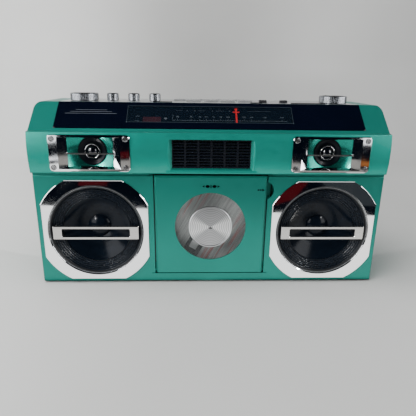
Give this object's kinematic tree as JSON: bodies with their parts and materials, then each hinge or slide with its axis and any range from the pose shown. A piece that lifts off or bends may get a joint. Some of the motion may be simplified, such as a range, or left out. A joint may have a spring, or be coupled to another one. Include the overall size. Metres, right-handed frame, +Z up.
{
  "type": "portable stereo radio and disc player",
  "caption": "Retro stereo boombox with twin woofers and tweeters, sloped AM/FM tuning dial, drop-down disc door, turning knobs, keys, folding handle and telescopic antenna.",
  "frame": {"origin": "middle of the bounding box's footprint, at the underside of the feet", "axes": "+X to the listener's right along the front, +Y from the front to the back, +Z up"},
  "size_m": [0.44, 0.1561, 0.2425],
  "materials": {
    "teal_paint": "metallic sea-green lacquer on moulded ABS, satin gloss",
    "chrome_trim": "bright mirror chrome",
    "knob_chrome": "turned and polished, knurled skirt, dished spun top",
    "spun_aluminium": "concentric spun finish with polished rim",
    "silver_plate": "brushed lengthwise",
    "silver_key": "silver painted key caps",
    "well_silver": "silver painted, fine brushed texture",
    "black_gloss": "polished black acrylic",
    "clear_acrylic": "clear acrylic",
    "dial_black": "matt black with printed scale",
    "display_red": "dark red filter",
    "pointer_red": "red",
    "black_plastic": "fine grained black moulding",
    "cone_black": "coated black paper",
    "rubber_black": "matt black rubber",
    "steel": "bright plated steel",
    "magnet_grey": "sintered ferrite",
    "transformer_iron": "varnished laminations and winding",
    "board_green": "printed circuit board with parts",
    "inner_metal": "plain"
  },
  "bodies": {
    "cabinet": {"front_cabinet": "teal_paint", "rear_cabinet": "teal_paint", "tweeter_dishes": "teal_paint", "woofer_bezels": "chrome_trim", "woofer_bars": "chrome_trim", "tweeter_frames": "chrome_trim", "tweeter_rods": "chrome_trim", "deck_plate": "silver_plate", "cd_well": "well_silver", "dial_panel": "black_gloss", "tweeter_domes": "black_gloss", "dial_lens": "clear_acrylic", "dial_scale": "dial_black", "clock_display": "display_red", "centre_grille": "black_plastic", "battery_bay": "black_plastic", "audio_jacks": "black_plastic", "mains_inlet": "black_plastic", "cd_mechanism": "black_plastic", "tweeter_drivers": "black_plastic", "woofer_gaskets": "rubber_black", "woofer_surrounds": "rubber_black", "feet": "rubber_black", "woofer_baskets": "steel", "screws": "steel", "hinge_pins": "steel", "woofer_magnets": "magnet_grey", "ferrite_antenna": "magnet_grey", "transformer": "transformer_iron", "control_board": "board_green", "main_board": "board_green", "tuning_capacitor": "inner_metal"},
    "volume_knob": {"volume_knob": "knob_chrome"},
    "tuning_knob": {"tuning_knob": "knob_chrome"},
    "bass_knob": {"bass_knob": "knob_chrome"},
    "treble_knob": {"treble_knob": "knob_chrome"},
    "balance_knob": {"balance_knob": "knob_chrome"},
    "dial_pointer": {"dial_pointer": "pointer_red"},
    "play_button": {"play_button": "silver_key"},
    "stop_button": {"stop_button": "silver_key"},
    "skip_back_button": {"skip_back_button": "silver_key"},
    "skip_forward_button": {"skip_forward_button": "silver_key"},
    "mode_button": {"mode_button": "silver_key"},
    "repeat_button": {"repeat_button": "silver_key"},
    "folder_button": {"folder_button": "silver_key"},
    "memory_button": {"memory_button": "silver_key"},
    "band_switch": {"band_switch": "black_plastic"},
    "function_switch": {"function_switch": "black_plastic"},
    "cd_door": {"cd_door": "teal_paint", "cd_window": "clear_acrylic", "cd_cap": "spun_aluminium"},
    "cd_hub": {"cd_hub": "black_plastic"},
    "cd_sled": {"cd_sled": "inner_metal"},
    "left_woofer_cone": {"left_woofer_cone": "cone_black"},
    "right_woofer_cone": {"right_woofer_cone": "cone_black"},
    "carry_handle": {"carry_handle": "black_plastic"},
    "battery_door": {"battery_door": "black_plastic"},
    "antenna_knuckle": {"antenna_knuckle": "steel"},
    "antenna_tube": {"antenna_tube": "steel"},
    "antenna_rod": {"antenna_rod": "steel"}
  },
  "joints": [
    {"name": "volume_turn", "type": "hinge", "parent": "cabinet", "child": "volume_knob", "pos_m": [-0.165, -0.00445, 0.234], "axis": [0, 0, 1], "range_deg": [-140, 140]},
    {"name": "tuning_turn", "type": "hinge", "parent": "cabinet", "child": "tuning_knob", "pos_m": [0.165, -0.00445, 0.234], "axis": [0, 0, 1], "range_deg": [-240, 302]},
    {"name": "bass_turn", "type": "hinge", "parent": "cabinet", "child": "bass_knob", "pos_m": [-0.128, -0.00445, 0.234], "axis": [0, 0, 1], "range_deg": [-140, 140]},
    {"name": "treble_turn", "type": "hinge", "parent": "cabinet", "child": "treble_knob", "pos_m": [-0.1005, -0.00445, 0.234], "axis": [0, 0, 1], "range_deg": [-140, 140]},
    {"name": "balance_turn", "type": "hinge", "parent": "cabinet", "child": "balance_knob", "pos_m": [-0.073, -0.00445, 0.234], "axis": [0, 0, 1], "range_deg": [-140, 140]},
    {"name": "pointer_travel", "type": "slide", "parent": "cabinet", "child": "dial_pointer", "axis": [1, 0, 0], "range_m": [-0.0784, 0.0624]},
    {"name": "play_press", "type": "slide", "parent": "cabinet", "child": "play_button", "axis": [0, 0, -1], "range_m": [0, 0.0012], "stiffness_N_per_m": 600, "springref_m": -0.002},
    {"name": "stop_press", "type": "slide", "parent": "cabinet", "child": "stop_button", "axis": [0, 0, -1], "range_m": [0, 0.0012], "stiffness_N_per_m": 600, "springref_m": -0.002},
    {"name": "skip_back_press", "type": "slide", "parent": "cabinet", "child": "skip_back_button", "axis": [0, 0, -1], "range_m": [0, 0.0012], "stiffness_N_per_m": 600, "springref_m": -0.002},
    {"name": "skip_forward_press", "type": "slide", "parent": "cabinet", "child": "skip_forward_button", "axis": [0, 0, -1], "range_m": [0, 0.0012], "stiffness_N_per_m": 600, "springref_m": -0.002},
    {"name": "mode_press", "type": "slide", "parent": "cabinet", "child": "mode_button", "axis": [0, 0, -1], "range_m": [0, 0.0012], "stiffness_N_per_m": 600, "springref_m": -0.002},
    {"name": "repeat_press", "type": "slide", "parent": "cabinet", "child": "repeat_button", "axis": [0, 0, -1], "range_m": [0, 0.0012], "stiffness_N_per_m": 600, "springref_m": -0.002},
    {"name": "folder_press", "type": "slide", "parent": "cabinet", "child": "folder_button", "axis": [0, 0, -1], "range_m": [0, 0.0012], "stiffness_N_per_m": 600, "springref_m": -0.002},
    {"name": "memory_press", "type": "slide", "parent": "cabinet", "child": "memory_button", "axis": [0, 0, -1], "range_m": [0, 0.0012], "stiffness_N_per_m": 600, "springref_m": -0.002},
    {"name": "band_select", "type": "slide", "parent": "cabinet", "child": "band_switch", "axis": [1, 0, 0], "range_m": [-0.004, 0.004]},
    {"name": "function_select", "type": "slide", "parent": "cabinet", "child": "function_switch", "axis": [1, 0, 0], "range_m": [-0.004, 0.004]},
    {"name": "cd_door_open", "type": "hinge", "parent": "cabinet", "child": "cd_door", "pos_m": [0, -0.06745, 0.0184], "axis": [1, 0, 0], "range_deg": [0, 28]},
    {"name": "disc_spin", "type": "hinge", "parent": "cabinet", "child": "cd_hub", "pos_m": [0, -0.04745, 0.08], "axis": [0, 1, 0], "continuous": true},
    {"name": "laser_travel", "type": "slide", "parent": "cabinet", "child": "cd_sled", "axis": [-0.5, 0, -0.866], "range_m": [0, 0.028]},
    {"name": "left_cone_throw", "type": "slide", "parent": "cabinet", "child": "left_woofer_cone", "axis": [0, -1, 0], "range_m": [-0.0015, 0.0015], "stiffness_N_per_m": 2000},
    {"name": "right_cone_throw", "type": "slide", "parent": "cabinet", "child": "right_woofer_cone", "axis": [0, -1, 0], "range_m": [-0.0015, 0.0015], "stiffness_N_per_m": 2000},
    {"name": "handle_swing", "type": "hinge", "parent": "cabinet", "child": "carry_handle", "pos_m": [0, 0.07155, 0.207], "axis": [1, 0, 0], "range_deg": [0, 180]},
    {"name": "battery_door_lift", "type": "slide", "parent": "cabinet", "child": "battery_door", "axis": [0, 1, 0], "range_m": [0, 0.03]},
    {"name": "antenna_raise", "type": "hinge", "parent": "cabinet", "child": "antenna_knuckle", "pos_m": [0.205, 0.05855, 0.2277], "axis": [0, 1, 0], "range_deg": [0, 135]},
    {"name": "antenna_lean", "type": "hinge", "parent": "antenna_knuckle", "child": "antenna_tube", "pos_m": [0.194, 0.05855, 0.2277], "axis": [0, 0, -1], "range_deg": [0, 75]},
    {"name": "antenna_extend", "type": "slide", "parent": "antenna_tube", "child": "antenna_rod", "axis": [-1, 0, 0], "range_m": [0, 0.24]}
  ],
  "couplings": [
    {"joint": "pointer_travel", "follows": "tuning_turn", "m_per_rad": -0.0148}
  ]
}
